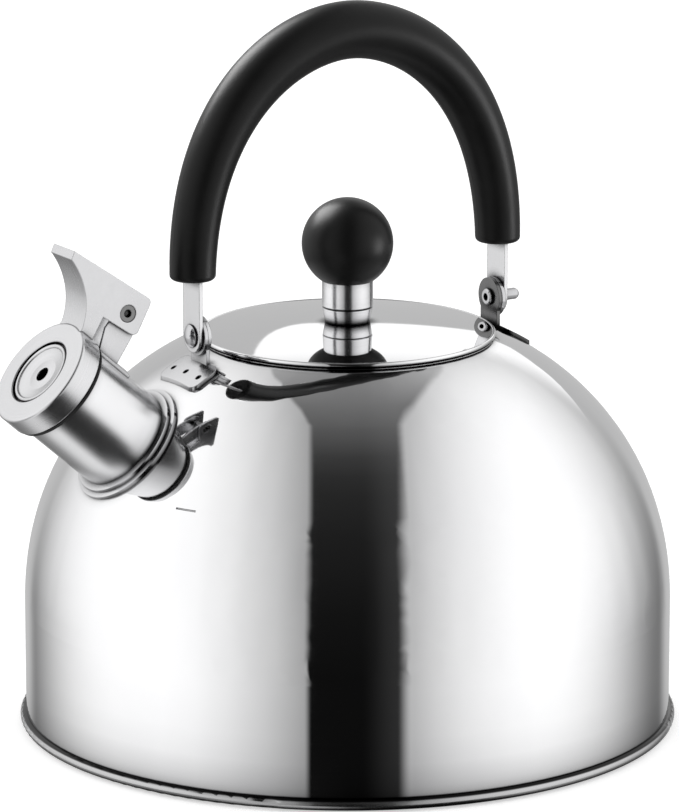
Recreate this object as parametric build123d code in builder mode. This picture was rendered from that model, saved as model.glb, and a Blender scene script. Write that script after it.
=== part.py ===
"""Stovetop whistling kettle: domed steel body, lift-off lid, folding bail handle and
a whistling spout cap opened by a finger lever.

Millimetres, +Z up. The origin is the centre of the flat base, the spout points to -X
and the handle folds about an axis along X.
"""

from build123d import *
from math import cos, radians, sin, sqrt
import os

os.makedirs("parts", exist_ok=True)

# ---------------------------------------------------------------- body
wall = 0.8                    # sheet thickness of shell, pan, lid and spout
body_radius = 100.0
side_height = 38.2            # top of the straight wall, where the dome starts
shoulder_pull = 45.4          # how long the dome stays steep above the wall
mouth_radius = 45.2           # where the dome meets the filling mouth
mouth_height = 120.8
mouth_slope = 20.3            # degrees the dome still falls away at the mouth
mouth_pull = 27.3
neck_radius = 43.6            # bore of the filling mouth
neck_depth = 7.3
seam_height = 3.7             # shell stands on the rolled bead here
bead_radius = 101.85
pan_height = 3.2              # underside of the pan
spreader_radius = 86.0
base_cap_wall = 0.7
level_mark_height = 84.9
level_mark_start = 203.6      # degrees round the body
level_mark_sweep = 4.6

# ---------------------------------------------------------------- spout
spout_root = (-78.4, 0.0, 97.5)
spout_tilt = 41.3             # degrees above horizontal
tube_radius = 16.0
tube_inside = -3.2            # tube starts this far below the dome surface
seal_start = 29.2             # distances along the spout from its root
seal_end = 30.3
neckdown_end = 31.4
mouth_tube_radius = 15.4
tube_end = 35.3
collar_radius = 19.4

# ---------------------------------------------------------------- whistle cap
cap_radius = 17.75
cap_wall = 1.2
cap_start = 30.6
cap_face = 38.2
recess_radius = 10.8
steam_hole_radius = 2.35
liner_thickness = 1.6
lever_half_width = 6.4
lever_sheet = 0.9
pin_reach = 28.3              # hinge pin: distance along the spout
pin_rise = 29.5               # hinge pin: height above the spout axis
pin_eye_radius = 2.7
pin_radius = 1.6
ear_half_width = 5.2
ear_sheet = 0.8

# ---------------------------------------------------------------- handle
pivot_height = 127.3
strap_reach = 54.4            # centre of each strap leg from the middle
strap_sheet = 1.2
strap_width = 10.0
grip_start = 144.7
arch_height = 216.0
leg_pull = 52.0
crown_pull = 22.0
grip_end_radius = 7.0
grip_quarter_radius = 8.2
grip_crown_radius = 8.85
bracket_sheet = 1.2
washer_sheet = 1.2
play = 0.1                    # side play of the strap at each hinge
rivet_radius = 1.9
foot_length = 9.4
foot_width = 21.4

# ---------------------------------------------------------------- lid and knob
lid_radius = 45.6
lid_rim_height = 121.5
lid_crown_height = 125.5
skirt_radius = 43.2
skirt_depth = 7.5
ferrule_radius = 7.85
ferrule_top = 138.5
ball_radius = 14.05
ball_centre = 150.0
screw_radius = 2.0


def dome_points(grow):
    """Control points of the dome outline, grown outward by a thickness."""
    slope = radians(mouth_slope)
    top_r = mouth_radius + grow * sin(slope)
    top_z = mouth_height + grow * cos(slope)
    return [
        (body_radius + grow, side_height),
        (body_radius + grow, side_height + shoulder_pull + 0.45 * grow),
        (top_r + mouth_pull * cos(slope), top_z - mouth_pull * sin(slope)),
        (top_r, top_z),
    ]


def dome_radius_at(height):
    """Radius of the outer dome surface at a height, by halving."""
    p = dome_points(0)
    low, high = 0.0, 1.0
    for _ in range(40):
        t = (low + high) / 2
        weights = ((1 - t) ** 3, 3 * t * (1 - t) ** 2, 3 * t * t * (1 - t), t ** 3)
        if sum(w * q[1] for w, q in zip(weights, p)) < height:
            low = t
        else:
            high = t
    return sum(w * q[0] for w, q in zip(weights, p))


def dome_core(grow):
    """Solid filling the body, used to trim what sits on the dome."""
    points = dome_points(grow)
    with BuildPart() as core:
        with BuildSketch(Plane.XZ):
            with BuildLine():
                Polyline((0, points[3][1]), (0, 0), (body_radius + grow, 0), points[0])
                Bezier(*points)
                Line(points[3], (0, points[3][1]))
            make_face()
        revolve(axis=Axis.Z)
    return core.part


tilt = radians(spout_tilt)
spout_axis = Axis(spout_root, (-cos(tilt), 0, sin(tilt)))
# On this plane x is the height above the spout's axis and y the distance along it.
spout_section = Plane(
    origin=spout_root, x_dir=(sin(tilt), 0, cos(tilt)), z_dir=(0, -1, 0)
)
# Square to the spout, looking back at the kettle.
spout_face = Plane(
    origin=spout_root, x_dir=(0, -1, 0), z_dir=(-cos(tilt), 0, sin(tilt))
)
pivot_axis = Axis((0, 0, pivot_height), (1, 0, 0))


# ================================================================ body
with BuildPart() as body_shell:
    outer = dome_points(0)
    inner = dome_points(-wall)
    neck_outer = neck_radius + wall
    with BuildSketch(Plane.XZ):
        with BuildLine():
            Line((body_radius, seam_height), outer[0])
            Bezier(*outer)
            ThreePointArc(outer[3], (44.35, 121.2), (neck_radius, 120.4))
            Polyline(
                (neck_radius, 120.4),
                (neck_radius, mouth_height - neck_depth),
                (neck_outer, mouth_height - neck_depth),
                (neck_outer, 119.5),
                inner[3],
            )
            Bezier(*inner)
            Polyline(
                inner[0],
                (body_radius - wall, seam_height),
                (body_radius, seam_height),
            )
        make_face()
    revolve(axis=Axis.Z)
    with BuildSketch(spout_face.offset(-8)):
        Circle(tube_radius)
    extrude(amount=16, mode=Mode.SUBTRACT)
    # Level mark: one short line engraved round the body.
    mark_radius = dome_radius_at(level_mark_height)
    groove = radians(level_mark_start)
    with BuildSketch(
        Plane(
            origin=(0, 0, 0),
            x_dir=(cos(groove), sin(groove), 0),
            z_dir=(sin(groove), -cos(groove), 0),
        )
    ):
        with Locations((mark_radius, level_mark_height)):
            Circle(0.3)
    revolve(axis=Axis.Z, revolution_arc=level_mark_sweep, mode=Mode.SUBTRACT)
body_shell.part.label = "body_shell"
export_step(body_shell.part, "parts/body_shell.step")

with BuildPart() as base_pan:
    with BuildSketch(Plane.XZ):
        with BuildLine():
            Polyline(
                (0, pan_height),
                (98.4, pan_height),
                (98.4, 0.3),
                (100.15, 0.3),
            )
            ThreePointArc((100.15, 0.3), (101.35, 0.8), (bead_radius, 2.0))
            ThreePointArc((bead_radius, 2.0), (101.35, 3.2), (100.15, seam_height))
            Polyline(
                (100.15, seam_height),
                (body_radius - wall, seam_height),
                (body_radius - wall, pan_height + wall),
                (0, pan_height + wall),
                (0, pan_height),
            )
        make_face()
    revolve(axis=Axis.Z)
base_pan.part.label = "base_pan"
export_step(base_pan.part, "parts/base_pan.step")

with BuildPart() as heat_spreader:
    with BuildSketch(Plane.XY.offset(base_cap_wall)):
        Circle(spreader_radius)
    extrude(amount=pan_height - base_cap_wall)
    fillet(heat_spreader.faces().sort_by(Axis.Z)[0].edges(), 0.6)
heat_spreader.part.label = "heat_spreader"
export_step(heat_spreader.part, "parts/heat_spreader.step")

with BuildPart() as base_cap:
    with BuildSketch():
        Circle(spreader_radius + base_cap_wall)
    extrude(amount=pan_height)
    fillet(base_cap.faces().sort_by(Axis.Z)[0].edges(), 1.2)
    add(heat_spreader.part, mode=Mode.SUBTRACT)
    # Pressed rings on the underside keep the base flat when it heats up.
    for ring_radius in (26.0, 48.0, 70.0):
        with BuildSketch():
            Circle(ring_radius + 0.8)
            Circle(ring_radius, mode=Mode.SUBTRACT)
        extrude(amount=0.25, mode=Mode.SUBTRACT)
base_cap.part.label = "base_cap"
export_step(base_cap.part, "parts/base_cap.step")

# ================================================================ spout
with BuildPart() as spout_tube:
    bore = tube_radius - wall
    end_bore = mouth_tube_radius - wall
    with BuildSketch(spout_section):
        with BuildLine():
            Polyline(
                (bore, tube_inside),
                (tube_radius, tube_inside),
                (tube_radius, seal_end),
                (mouth_tube_radius, neckdown_end),
                (mouth_tube_radius, tube_end - 0.4),
                (mouth_tube_radius - 0.4, tube_end),
                (end_bore, tube_end),
                (end_bore, neckdown_end),
                (bore, seal_end),
                (bore, tube_inside),
            )
        make_face()
    revolve(axis=spout_axis)
spout_tube.part.label = "spout_tube"
export_step(spout_tube.part, "parts/spout_tube.step")

# Collar: a flat flange that follows the dome with a raised bead round the tube.
with BuildPart() as spout_collar:
    with BuildSketch(spout_face.offset(-8)):
        Circle(collar_radius)
        Circle(tube_radius, mode=Mode.SUBTRACT)
    extrude(amount=16)
    add(dome_core(1.3), mode=Mode.INTERSECT)
with BuildPart() as collar_bead:
    with BuildSketch(spout_face.offset(-8)):
        Circle(tube_radius + 1.9)
        Circle(tube_radius, mode=Mode.SUBTRACT)
    extrude(amount=16)
    add(dome_core(2.5), mode=Mode.INTERSECT)
with BuildPart() as spout_collar_whole:
    add(spout_collar.part)
    add(collar_bead.part)
    add(dome_core(0), mode=Mode.SUBTRACT)
spout_collar_whole.part.label = "spout_collar"
export_step(spout_collar_whole.part, "parts/spout_collar.step")

with BuildPart() as spout_seal:
    with BuildSketch(spout_section):
        with Locations(((tube_radius + 17.3) / 2, (seal_start + seal_end) / 2)):
            RectangleRounded(17.3 - tube_radius, seal_end - seal_start, 0.3)
    revolve(axis=spout_axis)
spout_seal.part.label = "spout_seal"
export_step(spout_seal.part, "parts/spout_seal.step")

# ---------------------------------------------------------------- lever bracket
with BuildPart() as lever_bracket:
    with BuildSketch(spout_face.offset(15.5)):
        Circle(tube_radius + ear_sheet)
        Circle(tube_radius, mode=Mode.SUBTRACT)
        with Locations((0, 20)):
            Rectangle(13.4, 20, mode=Mode.INTERSECT)
    extrude(amount=seal_start - 0.6 - 15.5)
    for side in (ear_half_width - ear_sheet, -ear_half_width):
        with BuildSketch(spout_section.offset(side)):
            with BuildLine():
                Polyline(
                    (tube_radius - 1.2, 20.6),
                    (25.0, 21.9),
                    (31.0, 23.4),
                    (33.4, 26.6),
                    (33.4, 30.0),
                    (31.6, 31.2),
                    (22.0, 31.2),
                    (tube_radius - 1.2, 28.0),
                    close=True,
                )
            make_face()
            with Locations((pin_rise, pin_reach)):
                Circle(pin_radius, mode=Mode.SUBTRACT)
        extrude(amount=ear_sheet)
    with BuildSketch(spout_face.offset(10)):
        Circle(tube_radius)
    extrude(amount=30, mode=Mode.SUBTRACT)
lever_bracket.part.label = "lever_bracket"
export_step(lever_bracket.part, "parts/lever_bracket.step")

# Pin: thin between the ears, wide hollow ends that carry the lever's cheeks.
pin_line = Axis(
    tuple(spout_section.from_local_coords((pin_rise, pin_reach, 0))), (0, -1, 0)
)
with BuildPart() as lever_pin:
    pin_plane = Plane(origin=pin_line.position, x_dir=(1, 0, 0), z_dir=(0, -1, 0))
    with BuildSketch(pin_plane.offset(-ear_half_width)):
        Circle(pin_radius)
    extrude(amount=2 * ear_half_width)
    for side in (ear_half_width, -ear_half_width - 1.05):
        with BuildSketch(pin_plane.offset(side)):
            Circle(pin_eye_radius - 0.05)
        extrude(amount=1.05)
    for side in (ear_half_width + 0.1, -ear_half_width - 1.05):
        with BuildSketch(pin_plane.offset(side)):
            Circle(1.2)
        extrude(amount=0.95, mode=Mode.SUBTRACT)
lever_pin.part.label = "lever_pin"
export_step(lever_pin.part, "parts/lever_pin.step")

# ================================================================ whistle cap
with BuildPart() as cap_shell:
    cap_bore = cap_radius - cap_wall
    with BuildSketch(spout_section):
        with BuildLine():
            Polyline(
                (cap_bore, cap_start),
                (cap_radius - 0.3, cap_start),
                (cap_radius, cap_start + 0.3),
                (cap_radius, cap_face - 0.9),
            )
            ThreePointArc(
                (cap_radius, cap_face - 0.9),
                (cap_radius - 0.26, cap_face - 0.26),
                (cap_radius - 0.9, cap_face),
            )
            Polyline(
                (cap_radius - 0.9, cap_face),
                (recess_radius + 0.3, cap_face),
                (recess_radius, cap_face - 0.3),
                (recess_radius, cap_face - 1.0),
                (cap_bore, cap_face - 1.0),
                (cap_bore, cap_start),
            )
        make_face()
    revolve(axis=spout_axis)
cap_shell.part.label = "cap_shell"
export_step(cap_shell.part, "parts/cap_shell.step")

with BuildPart() as cap_liner:
    liner_front = cap_face - 1.0
    with BuildSketch(spout_section):
        with Locations(
            ((cap_bore + recess_radius) / 2, liner_front - liner_thickness / 2)
        ):
            Rectangle(cap_bore - recess_radius, liner_thickness)
    revolve(axis=spout_axis)
cap_liner.part.label = "cap_liner"
export_step(cap_liner.part, "parts/cap_liner.step")

with BuildPart() as whistle_front_disc:
    with BuildSketch(spout_section):
        with BuildLine():
            Polyline(
                (steam_hole_radius, cap_face - 2.4),
                (steam_hole_radius, cap_face - 1.5),
                (steam_hole_radius + 0.5, cap_face - 1.5),
                (5.2, cap_face - 1.7),
                (8.9, cap_face - 0.9),
            )
            ThreePointArc(
                (8.9, cap_face - 0.9), (9.6, cap_face - 0.35), (10.3, cap_face - 0.9)
            )
            Polyline(
                (10.3, cap_face - 0.9),
                (recess_radius, cap_face - 1.0),
                (recess_radius, cap_face - 1.6),
                (8.9, cap_face - 1.6),
                (5.2, cap_face - 2.4),
                (steam_hole_radius, cap_face - 2.4),
            )
        make_face()
    revolve(axis=spout_axis)
whistle_front_disc.part.label = "whistle_front_disc"
export_step(whistle_front_disc.part, "parts/whistle_front_disc.step")

with BuildPart() as whistle_rear_disc:
    with BuildSketch(spout_section):
        with BuildLine():
            Polyline(
                (steam_hole_radius, cap_face - 5.0),
                (steam_hole_radius, cap_face - 4.4),
                (recess_radius - 0.6, cap_face - 4.4),
                (recess_radius - 0.6, cap_face - 1.6),
                (recess_radius, cap_face - 1.6),
                (recess_radius, cap_face - 5.0),
                (steam_hole_radius, cap_face - 5.0),
            )
        make_face()
    revolve(axis=spout_axis)
whistle_rear_disc.part.label = "whistle_rear_disc"
export_step(whistle_rear_disc.part, "parts/whistle_rear_disc.step")


def front_edge(move):
    """Concave front of the lever, moved square to itself to leave the sheet."""
    knots = ((17.0, 38.2), (24.0, 42.3), (28.0, 47.2), (31.0, 54.8))
    return [(rise + move, reach - move) for rise, reach in knots]


# Lever: a channel of two cheeks joined by the finger plate, welded to the cap.
with BuildPart() as cap_lever:
    with BuildSketch(spout_section):
        with BuildLine():
            front = front_edge(0)
            Spline(*front)
            Polyline(
                front[-1],
                (33.6, 55.6),
                (37.4, 24.2),
                (26.0, 21.5),
                (25.2, 23.8),
                (23.9, 34.6),
                (16.0, 33.0),
                (16.0, 38.2),
                front[0],
            )
        make_face()
        fillet(
            [
                v
                for v in vertices()
                if abs(v.X - 37.4) < 0.1 or abs(v.X - 26.0) < 0.1
            ],
            1.8,
        )
    extrude(amount=lever_half_width, both=True)
    with BuildSketch(spout_section):
        with BuildLine():
            back = front_edge(lever_sheet)
            Spline(*back)
            Polyline(
                back[-1],
                (36.0, 55.2 - lever_sheet),
                (42.0, 55.2 - lever_sheet),
                (42.0, 18.0),
                (14.0, 18.0),
                (14.0, back[0][1]),
                back[0],
            )
        make_face()
    extrude(amount=lever_half_width - lever_sheet, both=True, mode=Mode.SUBTRACT)
    with BuildSketch(spout_section):
        with Locations((pin_rise, pin_reach)):
            Circle(pin_eye_radius)
    extrude(amount=2 * lever_half_width, both=True, mode=Mode.SUBTRACT)
    with BuildSketch(spout_face.offset(20)):
        Circle(cap_radius)
    extrude(amount=cap_face - 0.9 - 20, mode=Mode.SUBTRACT)
    add(cap_shell.part, mode=Mode.SUBTRACT)
cap_lever.part.label = "cap_lever"
export_step(cap_lever.part, "parts/cap_lever.step")

# ================================================================ handle brackets
strap_inner = strap_reach - strap_sheet / 2
strap_outer = strap_reach + strap_sheet / 2
washer_outer = strap_inner - play
ear_outer = washer_outer - washer_sheet
ear_inner = ear_outer - bracket_sheet


def handle_bracket(side):
    """L bracket: foot spot-welded to the dome, upright ear for the hinge rivet."""
    with BuildPart() as bracket:
        with BuildSketch(Plane.XY.offset(100)):
            with Locations((side * (ear_inner + foot_length / 2), 0)):
                RectangleRounded(foot_length, foot_width, 2.4)
        extrude(amount=30)
        add(dome_core(bracket_sheet), mode=Mode.INTERSECT)
        # Three spot welds leave shallow dimples in the foot.
        for across in (-7.6, 0.0, 7.6):
            weld_reach = ear_inner + 5.6
            weld_radius = sqrt(weld_reach ** 2 + across ** 2)
            weld_height = mouth_height - (weld_radius - mouth_radius) * 0.55
            with BuildSketch(Plane.XY.offset(weld_height)):
                with Locations((side * weld_reach, across)):
                    Circle(0.9)
            extrude(amount=12, mode=Mode.SUBTRACT)
        # On this plane x runs along Y and y runs up, or down on the front side.
        ear_plane = Plane(
            origin=(side * ear_inner, 0, 0), x_dir=(0, 1, 0), z_dir=(side, 0, 0)
        )
        with BuildSketch(ear_plane):
            with Locations((0, side * pivot_height)):
                Circle(6.0)
            with Locations((0, side * 119.6)):
                Rectangle(9.4, 15.4)
            with Locations((0, side * pivot_height)):
                Circle(rivet_radius, mode=Mode.SUBTRACT)
        extrude(amount=bracket_sheet)
        add(dome_core(0), mode=Mode.SUBTRACT)
    return bracket.part


front_bracket = handle_bracket(-1)
front_bracket.label = "front_bracket"
export_step(front_bracket, "parts/front_bracket.step")

rear_bracket = handle_bracket(1)
rear_bracket.label = "rear_bracket"
export_step(rear_bracket, "parts/rear_bracket.step")


def hinge_washer(side):
    """Spacer between the ear and the strap."""
    with BuildPart() as washer:
        with BuildSketch(Plane.XZ):
            with Locations(
                (side * (ear_outer + washer_outer) / 2, pivot_height + 4.0)
            ):
                Rectangle(washer_sheet, 4.2)
        revolve(axis=pivot_axis)
    return washer.part


front_washer = hinge_washer(-1)
front_washer.label = "front_washer"
export_step(front_washer, "parts/front_washer.step")

rear_washer = hinge_washer(1)
rear_washer.label = "rear_washer"
export_step(rear_washer, "parts/rear_washer.step")


def crown_arc(side, start, rim, rise):
    """Ball-shaped crown from a rim radius to the pivot axis."""
    ball = (rim ** 2 + rise ** 2) / (2 * rise)
    centre = start + rise - ball
    half = rim / 2
    ThreePointArc(
        (side * start, pivot_height + rim),
        (side * (centre + sqrt(ball ** 2 - half ** 2)), pivot_height + half),
        (side * (start + rise), pivot_height),
    )


def hinge_rivet(side, stub):
    """Rivet: rolled hollow end inside, domed head or long rounded stub outside."""
    head = strap_outer + play
    inside = ear_inner - 1.2
    with BuildPart() as rivet:
        with BuildSketch(Plane.XZ):
            with BuildLine():
                Polyline(
                    (side * inside, pivot_height + 1.2),
                    (side * inside, pivot_height + 2.2),
                    (side * (inside + 0.4), pivot_height + 2.6),
                    (side * ear_inner, pivot_height + 2.6),
                    (side * ear_inner, pivot_height + rivet_radius),
                    (side * head, pivot_height + rivet_radius),
                    (side * head, pivot_height + 3.5),
                    (side * (head + 0.4), pivot_height + 3.5),
                )
                if stub:
                    Polyline(
                        (side * (head + 0.4), pivot_height + 3.5),
                        (side * (head + 0.9), pivot_height + 3.0),
                        (side * (head + 0.9), pivot_height + 1.8),
                        (side * (head + 5.6), pivot_height + 1.8),
                    )
                    crown_arc(side, head + 5.6, 1.8, 1.4)
                    tip = head + 7.0
                else:
                    crown_arc(side, head + 0.4, 3.5, 1.3)
                    tip = head + 1.7
                Polyline(
                    (side * tip, pivot_height),
                    (side * (inside + 3.0), pivot_height),
                    (side * (inside + 3.0), pivot_height + 1.2),
                    (side * inside, pivot_height + 1.2),
                )
            make_face()
        revolve(axis=pivot_axis)
    return rivet.part


front_rivet = hinge_rivet(-1, False)
front_rivet.label = "front_rivet"
export_step(front_rivet, "parts/front_rivet.step")

rear_rivet = hinge_rivet(1, True)
rear_rivet.label = "rear_rivet"
export_step(rear_rivet, "parts/rear_rivet.step")

# ================================================================ handle
with BuildPart() as handle_strap:
    with BuildLine(Plane.XZ) as strap_path:
        Line((-strap_reach, pivot_height), (-strap_reach, grip_start))
        Bezier(
            (-strap_reach, grip_start),
            (-strap_reach, grip_start + leg_pull),
            (-crown_pull, arch_height),
            (0, arch_height),
        )
        Bezier(
            (0, arch_height),
            (crown_pull, arch_height),
            (strap_reach, grip_start + leg_pull),
            (strap_reach, grip_start),
        )
        Line((strap_reach, grip_start), (strap_reach, pivot_height))
    with BuildSketch(Plane(origin=(-strap_reach, 0, pivot_height), z_dir=(0, 0, 1))):
        Rectangle(strap_sheet, strap_width)
    sweep(path=strap_path.wires()[0])
    for side in (-1, 1):
        end_plane = Plane(
            origin=(side * strap_reach - strap_sheet / 2, 0, pivot_height),
            z_dir=(1, 0, 0),
        )
        with BuildSketch(end_plane):
            Circle(strap_width / 2)
        extrude(amount=strap_sheet)
    with BuildSketch(Plane(origin=(-70, 0, pivot_height), z_dir=(1, 0, 0))):
        Circle(rivet_radius + 0.06)
    extrude(amount=140, mode=Mode.SUBTRACT)
handle_strap.part.label = "handle_strap"
export_step(handle_strap.part, "parts/handle_strap.step")

with BuildPart() as handle_grip:
    with BuildLine(Plane.XZ) as grip_path:
        Bezier(
            (-strap_reach, grip_start),
            (-strap_reach, grip_start + leg_pull),
            (-crown_pull, arch_height),
            (0, arch_height),
        )
        Bezier(
            (0, arch_height),
            (crown_pull, arch_height),
            (strap_reach, grip_start + leg_pull),
            (strap_reach, grip_start),
        )
    grip_wire = grip_path.wires()[0]
    for place, radius in (
        (0.0, grip_end_radius),
        (0.22, grip_quarter_radius),
        (0.5, grip_crown_radius),
        (0.78, grip_quarter_radius),
        (1.0, grip_end_radius),
    ):
        with BuildSketch(Plane(origin=grip_wire @ place, z_dir=grip_wire % place)):
            Circle(radius)
    sweep(path=grip_wire, multisection=True)
    fillet(handle_grip.faces().sort_by(Axis.Z)[:2].edges(), 1.6)
    add(handle_strap.part, mode=Mode.SUBTRACT)
handle_grip.part.label = "handle_grip"
export_step(handle_grip.part, "parts/handle_grip.step")

# ================================================================ lid
with BuildPart() as lid_disc:
    rim_top = lid_rim_height + 1.1
    with BuildSketch(Plane.XZ):
        with BuildLine():
            ThreePointArc(
                (screw_radius, lid_crown_height - wall),
                (22.5, lid_crown_height - wall - 0.75),
                (43.6, lid_rim_height + 0.1),
            )
            Line((43.6, lid_rim_height + 0.1), (44.5, lid_rim_height))
            ThreePointArc(
                (44.5, lid_rim_height),
                (lid_radius, lid_rim_height + 0.55),
                (44.5, rim_top),
            )
            ThreePointArc(
                (44.5, rim_top),
                (22.8, lid_crown_height - 0.7),
                (screw_radius, lid_crown_height),
            )
            Line(
                (screw_radius, lid_crown_height),
                (screw_radius, lid_crown_height - wall),
            )
        make_face()
    revolve(axis=Axis.Z)
lid_disc.part.label = "lid_disc"
export_step(lid_disc.part, "parts/lid_disc.step")

with BuildPart() as lid_skirt:
    with BuildSketch(Plane.XY.offset(lid_rim_height - skirt_depth)):
        Circle(skirt_radius)
        Circle(skirt_radius - wall, mode=Mode.SUBTRACT)
    extrude(amount=skirt_depth + 0.7)
    add(lid_disc.part, mode=Mode.SUBTRACT)
lid_skirt.part.label = "lid_skirt"
export_step(lid_skirt.part, "parts/lid_skirt.step")

with BuildPart() as knob_ferrule:
    with BuildSketch(Plane.XZ):
        with BuildLine():
            Polyline(
                (screw_radius, lid_crown_height - 0.3),
                (6.9, lid_crown_height - 0.3),
                (ferrule_radius - 0.1, 130.0),
                (ferrule_radius - 0.5, 130.3),
                (ferrule_radius, 130.7),
                (ferrule_radius, ferrule_top),
                (screw_radius, ferrule_top),
                close=True,
            )
        make_face()
    revolve(axis=Axis.Z)
    add(lid_disc.part, mode=Mode.SUBTRACT)
knob_ferrule.part.label = "knob_ferrule"
export_step(knob_ferrule.part, "parts/knob_ferrule.step")

with BuildPart() as knob_ball:
    with Locations((0, 0, ball_centre)):
        Sphere(ball_radius)
    with BuildSketch(Plane.XY.offset(ferrule_top - 10)):
        Circle(20)
    extrude(amount=10, mode=Mode.SUBTRACT)
    with BuildSketch(Plane.XY.offset(ferrule_top)):
        Circle(4.0)
    extrude(amount=9.0, mode=Mode.SUBTRACT)
knob_ball.part.label = "knob_ball"
export_step(knob_ball.part, "parts/knob_ball.step")

with BuildPart() as knob_insert:
    with BuildSketch(Plane.XY.offset(ferrule_top)):
        Circle(4.0)
        Circle(screw_radius, mode=Mode.SUBTRACT)
    extrude(amount=9.0)
knob_insert.part.label = "knob_insert"
export_step(knob_insert.part, "parts/knob_insert.step")

with BuildPart() as knob_washer:
    with BuildSketch(Plane.XY.offset(lid_crown_height - wall - 0.8)):
        Circle(6.5)
        Circle(screw_radius, mode=Mode.SUBTRACT)
    extrude(amount=1.0)
    add(lid_disc.part, mode=Mode.SUBTRACT)
knob_washer.part.label = "knob_washer"
export_step(knob_washer.part, "parts/knob_washer.step")

with BuildPart() as knob_screw:
    head_top = lid_crown_height - wall - 0.8
    with BuildSketch(Plane.XY.offset(head_top)):
        Circle(screw_radius)
    extrude(amount=22.5)
    with BuildSketch(Plane.XY.offset(head_top - 2.0)):
        Circle(3.9)
    extrude(amount=2.0)
    fillet(knob_screw.faces().sort_by(Axis.Z)[0].edges(), 0.8)
    with BuildSketch(Plane.XY.offset(head_top - 2.0)):
        Rectangle(4.2, 0.9)
        Rectangle(0.9, 4.2)
    extrude(amount=1.1, mode=Mode.SUBTRACT)
knob_screw.part.label = "knob_screw"
export_step(knob_screw.part, "parts/knob_screw.step")
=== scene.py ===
"""Stovetop whistling kettle: finishes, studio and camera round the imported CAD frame."""

from math import cos, radians, sin

import bpy
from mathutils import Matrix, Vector

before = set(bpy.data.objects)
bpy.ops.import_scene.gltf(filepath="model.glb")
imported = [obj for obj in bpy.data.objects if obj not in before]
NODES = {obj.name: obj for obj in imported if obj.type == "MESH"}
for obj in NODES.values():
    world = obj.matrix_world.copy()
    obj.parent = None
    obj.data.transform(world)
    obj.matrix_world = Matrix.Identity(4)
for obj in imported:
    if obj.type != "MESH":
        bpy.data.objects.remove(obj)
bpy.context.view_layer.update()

# ---------------------------------------------------------------- camera
TURN = radians(31.0)        # the camera stands this far round from the handle's side
CAMERA_DISTANCE = 1.6837    # from the kettle's axis, level
CAMERA_HEIGHT = 0.5089
CAMERA_TILT = 0.239         # down from level, in radians
LENS = 249.5
SHIFT_RIGHT = 8 / 812       # the kettle stands a little right of the middle

toward = Vector((-sin(TURN), -cos(TURN), 0.0))      # level, from the kettle to the camera
right = Vector((cos(TURN), -sin(TURN), 0.0))
up = Vector((0.0, 0.0, 1.0))

camera = bpy.data.objects.new("camera", bpy.data.cameras.new("camera"))
bpy.context.scene.collection.objects.link(camera)
bpy.context.scene.camera = camera
camera.data.lens = LENS
camera.data.sensor_width = 36.0
camera.data.clip_start = 0.05
camera.data.clip_end = 40.0
camera.data.dof.use_dof = False
camera.data.shift_x = -SHIFT_RIGHT
camera.location = toward * CAMERA_DISTANCE + up * CAMERA_HEIGHT
gaze = -toward * cos(CAMERA_TILT) - up * sin(CAMERA_TILT)
camera.rotation_euler = gaze.to_track_quat("-Z", "Y").to_euler()


# ---------------------------------------------------------------- node helpers
def add(tree, kind, sockets=None, **settings):
    """One shader node; a socket takes a constant or another node's output."""
    made = tree.nodes.new(kind)
    for name, value in settings.items():
        setattr(made, name, value)
    for name, value in (sockets or {}).items():
        if isinstance(value, bpy.types.NodeSocket):
            tree.links.new(value, made.inputs[name])
        else:
            made.inputs[name].default_value = value
    return made


def math(tree, operation, a, b=0.0):
    """A Math node's output."""
    return add(tree, "ShaderNodeMath", {0: a, 1: b}, operation=operation).outputs[0]


def vector(tree, operation, a, b=(0.0, 0.0, 0.0)):
    """A Vector Math node."""
    return add(tree, "ShaderNodeVectorMath", {0: a, 1: b}, operation=operation)


def dot(tree, a, b):
    """The dot product of two vectors, as a number."""
    return vector(tree, "DOT_PRODUCT", a, b).outputs["Value"]


def grey(tree, value):
    """A number as a grey colour."""
    return add(tree, "ShaderNodeCombineXYZ", {"X": value, "Y": value, "Z": value}).outputs[0]


def remap(tree, value, low, high, to_low, to_high, kind="LINEAR"):
    """A Map Range node's output, clamped."""
    made = add(
        tree,
        "ShaderNodeMapRange",
        {"Value": value, "From Min": low, "From Max": high, "To Min": to_low, "To Max": to_high},
        interpolation_type=kind,
    )
    return made.outputs[0]


def ramp(tree, value, stops):
    """A Color Ramp of (place, grey) or (place, colour) stops."""
    made = add(tree, "ShaderNodeValToRGB", {0: value})
    band = made.color_ramp
    while len(band.elements) < len(stops):
        band.elements.new(1.0)
    for element, (place, shade) in zip(band.elements, stops):
        element.position = place
        colour = shade if isinstance(shade, tuple) else (shade, shade, shade)
        element.color = (*colour, 1.0)
    return made.outputs[0]


def blend(tree, factor, a, b):
    """A colour Mix node's output."""
    made = tree.nodes.new("ShaderNodeMix")
    made.data_type = "RGBA"
    for socket, value in ((made.inputs[0], factor), (made.inputs[6], a), (made.inputs[7], b)):
        if isinstance(value, bpy.types.NodeSocket):
            tree.links.new(value, socket)
        elif isinstance(value, tuple):
            socket.default_value = (*value, 1.0)
        else:
            socket.default_value = value
    return made.outputs[2]


def noise(tree, at, scale, detail=3.0, rough=0.5):
    """A Noise Texture's factor."""
    made = add(
        tree,
        "ShaderNodeTexNoise",
        {"Vector": at, "Scale": scale, "Detail": detail, "Roughness": rough},
    )
    return made.outputs["Fac"]


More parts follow.
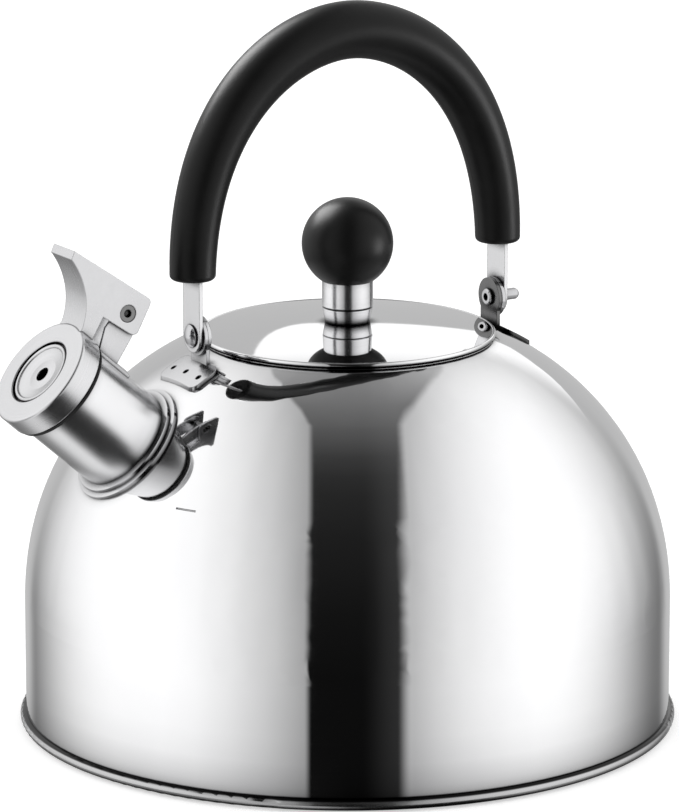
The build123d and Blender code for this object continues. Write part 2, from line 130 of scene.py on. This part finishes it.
# ---------------------------------------------------------------- studio light
# A pale tent: one tall soft panel each side of the camera, a dark gap between them that pales
# towards the roof, dark flags behind the kettle and a white backdrop above the table. A mirror
# facing midway between a heading and the lens shows what lies along that heading, so the panels
# are laid out by that middle direction: across (to the right), height and facing (to the lens).
# The tent is fixed round the photograph's viewpoint and doesn't turn with the camera. Its brightnesses
# were set from readings of the photograph, so it is less plain than paper.
world = bpy.data.worlds.new("studio")
bpy.context.scene.world = world
world.use_nodes = True
sky = world.node_tree
sky.nodes.clear()

toward_lens = toward * cos(CAMERA_TILT) + up * sin(CAMERA_TILT)
heading = add(sky, "ShaderNodeTexCoord").outputs["Generated"]
middle = vector(sky, "NORMALIZE", vector(sky, "ADD", heading, toward_lens).outputs[0]).outputs[0]
across = dot(sky, middle, right)
height = dot(sky, middle, up)
facing = dot(sky, middle, toward_lens)
lift = dot(sky, heading, up)
side = dot(sky, heading, right)
depth = dot(sky, heading, toward)
# The panels lean in towards the roof, and their inner edges are rounded off there.
PANEL_LEAN = 0.20
ROUNDING_START = 0.79
roofward = math(sky, "MAXIMUM", height, 0.0)
leaned = math(sky, "MULTIPLY", math(sky, "MULTIPLY", roofward, roofward), PANEL_LEAN)
place = math(sky, "DIVIDE", across, math(sky, "SUBTRACT", 1.0, leaned))
past_start = math(sky, "MAXIMUM", math(sky, "SUBTRACT", height, ROUNDING_START), 0.0)
rounding = math(sky, "MULTIPLY", past_start, 0.90)
below = math(sky, "MAXIMUM", math(sky, "MULTIPLY", height, -1.0), 0.0)

# Brightness of each panel by its distance from the middle, as (distance, brightness).
LEFT_PANEL = [
    (0.0, 0.32),
    (0.12, 0.34),
    (0.17, 0.44),
    (0.25, 0.60),
    (0.36, 0.80),
    (0.46, 0.95),
    (0.56, 1.02),
    (0.75, 1.0),
    (1.0, 0.98),
]
RIGHT_PANEL = [
    (0.0, 0.42),
    (0.20, 0.48),
    (0.27, 0.64),
    (0.35, 0.79),
    (0.42, 0.89),
    (0.50, 0.98),
    (0.57, 1.03),
    (0.75, 1.0),
    (1.0, 0.98),
]
left_panel = ramp(sky, math(sky, "MULTIPLY", place, -1.0), LEFT_PANEL)
right_panel = ramp(sky, place, RIGHT_PANEL)
panels = blend(sky, math(sky, "GREATER_THAN", place, 0.0), left_panel, right_panel)

# The dark gap, paler with height, and hazier towards its right edge.
GAP = [
    (0.0, 0.004),
    (0.2, 0.006),
    (0.45, 0.012),
    (0.58, 0.018),
    (0.64, 0.024),
    (0.70, 0.040),
    (0.78, 0.092),
    (0.86, 0.165),
    (0.94, 0.235),
]
gap = ramp(sky, height, GAP)
near_roof = remap(sky, height, 0.84, 0.94, 0.0, 3.0)
sides = math(sky, "MULTIPLY", math(sky, "MULTIPLY", place, place), near_roof)
gap = vector(sky, "ADD", gap, grey(sky, sides)).outputs[0]
haze = remap(sky, place, 0.04, 0.17, 0.0, 0.022, "SMOOTHSTEP")
gap = vector(sky, "ADD", gap, grey(sky, haze)).outputs[0]
left_place = math(sky, "ADD", place, rounding)
right_place = math(sky, "SUBTRACT", place, rounding)
left_edge = remap(sky, left_place, -0.131, -0.109, 1.0, 0.0, "SMOOTHSTEP")
right_edge = remap(sky, right_place, 0.150, 0.195, 0.0, 1.0, "SMOOTHSTEP")
light = blend(sky, math(sky, "MAXIMUM", left_edge, right_edge), gap, panels)

# What undersides see: a pale table with a dark card right of the middle, from left to right.
UNDER = [
    (0.0, 0.80),
    (0.16, 0.62),
    (0.22, 0.42),
    (0.30, 0.45),
    (0.37, 0.85),
    (0.45, 0.85),
    (0.50, 0.12),
    (0.53, 0.02),
    (0.68, 0.03),
    (0.77, 0.60),
    (1.0, 0.60),
]
under = ramp(sky, remap(sky, place, -1.0, 1.0, 0.0, 1.0), UNDER)
light = blend(sky, remap(sky, below, 0.03, 0.14, 0.0, 1.0, "SMOOTHSTEP"), light, under)

# Dark flags close in behind the kettle, a little wider on the right.
turned_away = math(sky, "SUBTRACT", facing, math(sky, "MULTIPLY", place, 0.055))
turned_away = math(sky, "ADD", turned_away, math(sky, "MULTIPLY", roofward, 0.15))
flag = remap(sky, turned_away, 0.23, 0.74, 1.0, 0.0, "SMOOTHSTEP")
cloth = ramp(sky, height, [(0.0, 0.17), (0.9, 0.31)])
light = blend(sky, flag, light, cloth)

# Straight behind: the grey back edge of the table, and a white backdrop standing on it, whose
# foot curves up to the left.
leftward = math(sky, "MULTIPLY", side, -1.0)
corner = math(sky, "MAXIMUM", math(sky, "SUBTRACT", leftward, 0.02), 0.0)
foot = math(sky, "MULTIPLY", math(sky, "MULTIPLY", corner, corner), 66.0)
above = remap(sky, math(sky, "SUBTRACT", lift, foot), 0.228, 0.240, 0.0, 1.0, "SMOOTHSTEP")
back = blend(sky, above, (0.45, 0.45, 0.45), (0.98, 0.98, 0.98))
behind = remap(sky, depth, -0.80, -0.92, 0.0, 1.0, "SMOOTHSTEP")
light = blend(sky, behind, light, back)

# The lens itself sees plain white paper.
STUDIO_STRENGTH = 1.25
seen = add(sky, "ShaderNodeLightPath").outputs["Is Camera Ray"]
studio = add(sky, "ShaderNodeBackground", {"Color": light, "Strength": STUDIO_STRENGTH})
paper = add(sky, "ShaderNodeBackground", {"Color": (1.0, 1.0, 1.0, 1.0), "Strength": 1.0})
mix = add(sky, "ShaderNodeMixShader", {0: seen, 1: studio.outputs[0], 2: paper.outputs[0]})
add(sky, "ShaderNodeOutputWorld", {"Surface": mix.outputs[0]})

bpy.context.scene.view_settings.view_transform = "Standard"

# ---------------------------------------------------------------- table
FLOOR_SIDE = 9.0
FLOOR_DROP = 0.0002         # just under the plane the kettle stands on
floor_mesh = bpy.data.meshes.new("floor")
half = FLOOR_SIDE / 2
floor_mesh.from_pydata(
    [(-half, -half, 0.0), (half, -half, 0.0), (half, half, 0.0), (-half, half, 0.0)],
    [],
    [(0, 1, 2, 3)],
)
floor = bpy.data.objects.new("floor", floor_mesh)
bpy.context.scene.collection.objects.link(floor)
floor.location.z = -FLOOR_DROP
# The floor isn't mirrored: seen from this low, the wall would show it in place of the panels.
floor.visible_glossy = False

paper_finish = bpy.data.materials.new("paper_table")
paper_finish.use_nodes = True
tree = paper_finish.node_tree
tree.nodes.clear()
spot = add(tree, "ShaderNodeTexCoord").outputs["Object"]
shade = ramp(tree, noise(tree, spot, 3.0), [(0.0, 0.88), (1.0, 0.92)])
matt = add(tree, "ShaderNodeBsdfDiffuse", {"Color": shade})
glow = add(tree, "ShaderNodeEmission", {"Color": (1.0, 1.0, 1.0, 1.0), "Strength": 0.55})
both = add(tree, "ShaderNodeAddShader", {0: matt.outputs[0], 1: glow.outputs[0]})
add(tree, "ShaderNodeOutputMaterial", {"Surface": both.outputs[0]})
floor_mesh.materials.append(paper_finish)


# ---------------------------------------------------------------- finishes
SPOUT_TILT = radians(41.3)
SPOUT_ROOT = (-0.0784, 0.0, 0.0975)
BASE_CENTRE = (0.0, 0.0, 0.0)
SHEET_EDGE = 0.0004         # broken edges of pressed and blanked parts
CORNER_SHADE_REACH = 0.0035       # how far the painted corner shade reaches out of a corner


def cloudy(colours):
    """Ramp stops from the darker colour to the brighter over a noise's usual range."""
    return [(0.3, colours[0]), (0.7, colours[1])]


def start(name):
    """A new node material, its tree and its object coordinates in metres."""
    made = bpy.data.materials.new(name)
    made.use_nodes = True
    made.node_tree.nodes.clear()
    spot = add(made.node_tree, "ShaderNodeTexCoord").outputs["Object"]
    return made, made.node_tree, spot


def turned(tree, spot, origin, tilt):
    """Distance out from an axis and distance along it, for marks that run round that axis."""
    moved = vector(tree, "SUBTRACT", spot, origin).outputs[0]
    along = dot(tree, moved, (-sin(tilt), 0.0, cos(tilt)))
    over = dot(tree, moved, (cos(tilt), 0.0, sin(tilt)))
    beside = dot(tree, moved, (0.0, 1.0, 0.0))
    flat = add(tree, "ShaderNodeCombineXYZ", {"X": over, "Y": beside}).outputs[0]
    return vector(tree, "LENGTH", flat).outputs["Value"], along


def painted_corner_shade(tree, colour):
    """The colour with painted shade: drawn darker in gaps and inner corners, as the photograph shows them.
    """
    near = add(tree, "ShaderNodeAmbientOcclusion", {"Distance": CORNER_SHADE_REACH}, samples=8)
    corner_shade_share = remap(tree, near.outputs["AO"], 0.50, 0.93, 0.01, 1.0)
    return vector(tree, "MULTIPLY", colour, grey(tree, corner_shade_share)).outputs[0]


def finish_metal(made, tree, colour, rough, height, strength, distance, edge):
    """The metal shader and its output, with painted shade in its corners; a sheet's edges are broken by
    the radius given.
    """
    bump = add(tree, "ShaderNodeBump", {"Strength": strength, "Distance": distance, "Height": height})
    if edge:
        broken = add(tree, "ShaderNodeBevel", {"Radius": edge}, samples=6).outputs[0]
        tree.links.new(broken, bump.inputs["Normal"])
    shader = add(
        tree,
        "ShaderNodeBsdfPrincipled",
        {
            "Base Color": painted_corner_shade(tree, colour),
            "Metallic": 1.0,
            "Roughness": rough,
            "Normal": bump.outputs[0],
        },
    )
    add(tree, "ShaderNodeOutputMaterial", {"Surface": shader.outputs[0]})
    return made


FOOT = 0.036                # below this height the mirror is drawn darker towards the base, as painted shade
PAINTED_FOOT_SHADE = [              # (height, share of the colour kept): painted shade, set to follow the photograph
    (0.0, 0.60),
    (0.0030, 0.60),         # the bead
    (0.00325, 0.015),       # the seam above the bead
    (0.0039, 0.015),
    (0.0042, 0.52),         # the foot of the wall
    (0.009, 0.70),
    (0.014, 0.85),
    (0.022, 0.94),
    (FOOT, 1.0),
]


def painted_foot_shade(tree, spot, colour):
    """The colour with painted shade: greyer towards the base and black in the seam above the bead."""
    rise = remap(tree, dot(tree, spot, (0.0, 0.0, 1.0)), 0.0, FOOT, 0.0, 1.0)
    shade = ramp(tree, rise, [(height / FOOT, share) for height, share in PAINTED_FOOT_SHADE])
    return vector(tree, "MULTIPLY", colour, shade).outputs[0]


def polished(name, colours, roughness, tilt=0.0, origin=BASE_CENTRE, edge=0.0, foot=False):
    """Mirror-polished steel: faint buffing rings and a slight uneven haze; with foot set, painted shade
    towards the base.
    """
    made, tree, spot = start(name)
    out, along = turned(tree, spot, origin, tilt)
    rings = add(
        tree,
        "ShaderNodeCombineXYZ",
        {"X": math(tree, "MULTIPLY", out, 900.0), "Y": math(tree, "MULTIPLY", along, 900.0)},
    ).outputs[0]
    buffing = noise(tree, rings, 1.0, 2.0)
    haze = noise(tree, spot, 26.0, 4.0, 0.6)
    colour = ramp(tree, haze, cloudy(colours))
    # Painted shade: greyer towards the base and black in the seam above the bead.
    if foot:
        colour = painted_foot_shade(tree, spot, colour)
    rough = math(
        tree,
        "ADD",
        remap(tree, haze, 0.3, 0.7, *roughness),
        remap(tree, buffing, 0.45, 0.75, 0.0, 0.012),
    )
    wave = noise(tree, spot, 18.0, 1.0)
    relief = math(tree, "ADD", wave, math(tree, "MULTIPLY", buffing, 0.02))
    return finish_metal(made, tree, colour, rough, relief, 0.10, 0.00002, edge)


def satin(name, colours, roughness, tilt=0.0, origin=BASE_CENTRE, lines=2600.0):
    """Satin steel: fine lines turned round an axis, with a soft cloud of wear."""
    made, tree, spot = start(name)
    out, along = turned(tree, spot, origin, tilt)
    rings = add(
        tree,
        "ShaderNodeCombineXYZ",
        {
            "X": math(tree, "MULTIPLY", out, lines),
            "Y": math(tree, "MULTIPLY", along, lines),
            "Z": noise(tree, spot, 60.0, 1.0),
        },
    ).outputs[0]
    grain = noise(tree, rings, 1.0, 3.0, 0.6)
    cloud = noise(tree, spot, 55.0, 3.0)
    colour = blend(tree, 0.5, ramp(tree, grain, cloudy(colours)), ramp(tree, cloud, cloudy(colours)))
    rough = math(
        tree,
        "ADD",
        remap(tree, cloud, 0.3, 0.7, *roughness),
        remap(tree, grain, 0.35, 0.75, -0.01, 0.02),
    )
    return finish_metal(made, tree, colour, rough, grain, 0.05, 0.00003, SHEET_EDGE)


def brushed_strip(name, colours, roughness, stretch):
    """Rolled strip steel: fine straight lines along the direction stretched least."""
    made, tree, spot = start(name)
    long = add(tree, "ShaderNodeMapping", {"Vector": spot, "Scale": stretch}).outputs[0]
    grain = noise(tree, long, 1.0, 3.0, 0.6)
    cloud = noise(tree, spot, 80.0, 3.0)
    colour = blend(tree, 0.5, ramp(tree, grain, cloudy(colours)), ramp(tree, cloud, cloudy(colours)))
    rough = math(
        tree,
        "ADD",
        remap(tree, cloud, 0.3, 0.7, *roughness),
        remap(tree, grain, 0.35, 0.75, -0.02, 0.03),
    )
    return finish_metal(made, tree, colour, rough, grain, 0.06, 0.00003, SHEET_EDGE)


def moulded(name, colours, roughness, pebble, depth):
    """Moulded black parts: a fine pebbled skin, with handling marks in the gloss."""
    made, tree, spot = start(name)
    cells = add(tree, "ShaderNodeTexVoronoi", {"Vector": spot, "Scale": pebble}, feature="SMOOTH_F1")
    fine = noise(tree, spot, pebble * 2.2, 2.0)
    handled = noise(tree, spot, 42.0, 4.0, 0.6)
    relief = math(tree, "ADD", cells.outputs["Distance"], math(tree, "MULTIPLY", fine, 0.5))
    bump = add(tree, "ShaderNodeBump", {"Strength": 0.10, "Distance": depth, "Height": relief})
    shader = add(
        tree,
        "ShaderNodeBsdfPrincipled",
        {
            "Base Color": ramp(tree, handled, cloudy(colours)),
            "Metallic": 0.0,
            "Roughness": remap(tree, handled, 0.3, 0.7, *roughness),
            "IOR": 1.45,
            "Specular IOR Level": 0.20,
            "Normal": bump.outputs[0],
        },
    )
    add(tree, "ShaderNodeOutputMaterial", {"Surface": shader.outputs[0]})
    return made


def wear(finish, *names):
    """Puts one finish on CAD nodes."""
    for name in names:
        mesh = NODES[name].data
        if not mesh.materials:
            mesh.materials.append(finish)
        for place in range(len(mesh.materials)):
            mesh.materials[place] = finish


def greys(dark, bright, blue=0.01):
    """A darker and a brighter grey, each a touch bluer than neutral."""
    return (dark, dark, dark + blue), (bright, bright, bright + blue)


MIRROR = ((0.79, 0.79, 0.80), (0.82, 0.82, 0.825))
BLACK = greys(0.003, 0.006, 0.0)
ALONG_SPOUT = {"tilt": SPOUT_TILT, "origin": SPOUT_ROOT}
ACROSS_SPOUT = {"tilt": radians(90) - SPOUT_TILT, "origin": SPOUT_ROOT}
FOLLOW_BRACKET = (2600.0, 400.0, 120.0)

# The kettle's body.
# The wall and the pan carry painted shade towards the base.
wear(polished("body_mirror", MIRROR, (0.02, 0.045), foot=True), "body_shell")
wear(polished("pan_mirror", MIRROR, (0.16, 0.22), foot=True), "base_pan")
wear(satin("base_satin", greys(0.60, 0.70), (0.30, 0.42)), "base_cap")
wear(satin("spreader_plain", greys(0.68, 0.78, 0.02), (0.35, 0.45)), "heat_spreader")
wear(brushed_strip("bracket_strip", greys(0.58, 0.66), (0.16, 0.26), FOLLOW_BRACKET), "front_bracket")
# The rear bracket is the same strip steel as the front, drawn darker as painted shade.
wear(brushed_strip("rear_strip_painted_shade", greys(0.13, 0.18, 0.0), (0.16, 0.26), FOLLOW_BRACKET), "rear_bracket")
wear(
    polished("rivet_mirror", greys(0.50, 0.58), (0.10, 0.16), edge=SHEET_EDGE),
    "front_rivet",
    "rear_rivet",
    "front_washer",
    "rear_washer",
)

# The spout and its whistle cap.
wear(polished("collar_mirror", greys(0.62, 0.68), (0.05, 0.10), **ALONG_SPOUT), "spout_collar")
wear(polished("tube_polish", greys(0.72, 0.77), (0.20, 0.24), **ACROSS_SPOUT), "spout_tube")
wear(
    satin("cap_satin", greys(0.60, 0.67), (0.20, 0.28), **ACROSS_SPOUT),
    "cap_shell",
    "whistle_front_disc",
)
# The rear whistle disc is drawn near-black as painted shade inside the cap.
wear(satin("disc_painted_shade", greys(0.025, 0.05, 0.0), (0.40, 0.50), **ACROSS_SPOUT), "whistle_rear_disc")
wear(
    brushed_strip("lever_strip", greys(0.58, 0.66), (0.20, 0.30), (300.0, 2800.0, 300.0)),
    "cap_lever",
    "lever_bracket",
)
wear(polished("pin_mirror", greys(0.16, 0.24, 0.0), (0.12, 0.20), edge=SHEET_EDGE), "lever_pin")
wear(
    moulded("seal_silicone", greys(0.012, 0.020, 0.0), (0.48, 0.60), 3200.0, 0.00004),
    "spout_seal",
    "cap_liner",
)

# The handle.
wear(brushed_strip("strap_strip", greys(0.68, 0.74), (0.16, 0.24), (3200.0, 3200.0, 90.0)), "handle_strap")
wear(moulded("grip_soft_black", BLACK, (0.36, 0.42), 2400.0, 0.00002), "handle_grip")

# The lid and its knob.
wear(polished("lid_mirror", MIRROR, (0.015, 0.04)), "lid_disc", "lid_skirt")
wear(
    satin("ferrule_satin", greys(0.70, 0.78), (0.18, 0.24), lines=4200.0),
    "knob_ferrule",
    "knob_screw",
    "knob_washer",
)
wear(moulded("knob_soft_black", BLACK, (0.34, 0.40), 2800.0, 0.00002), "knob_ball")
wear(satin("insert_brass", ((0.70, 0.54, 0.26), (0.80, 0.64, 0.34)), (0.22, 0.32)), "knob_insert")

# ---------------------------------------------------------------- rim lights
# Two soft lights reach the black mouldings only, to lift their edges off the pale tent.
black_parts = bpy.data.collections.new("black_parts")
for name in ("handle_grip", "knob_ball"):
    black_parts.objects.link(NODES[name])


RIM_DISTANCE = 1.2
RIM_AIM_HEIGHT = 0.16


def rim_light(name, direction, power, side_length):
    """A square soft light aimed at the knob, felt by the black mouldings only."""
    made = bpy.data.objects.new(name, bpy.data.lights.new(name, "AREA"))
    bpy.context.scene.collection.objects.link(made)
    made.data.energy = power
    made.data.size = side_length
    aim = direction.normalized()
    made.location = aim * RIM_DISTANCE + up * RIM_AIM_HEIGHT
    made.rotation_euler = (-aim).to_track_quat("-Z", "Y").to_euler()
    made.light_linking.receiver_collection = black_parts


rim_light("rim_left", -right * 0.70 + up * 0.85 - toward * 0.60, 26.0, 0.8)
rim_light("rim_right", right * 0.9 - up * 0.10 + toward * 0.10, 7.0, 0.5)
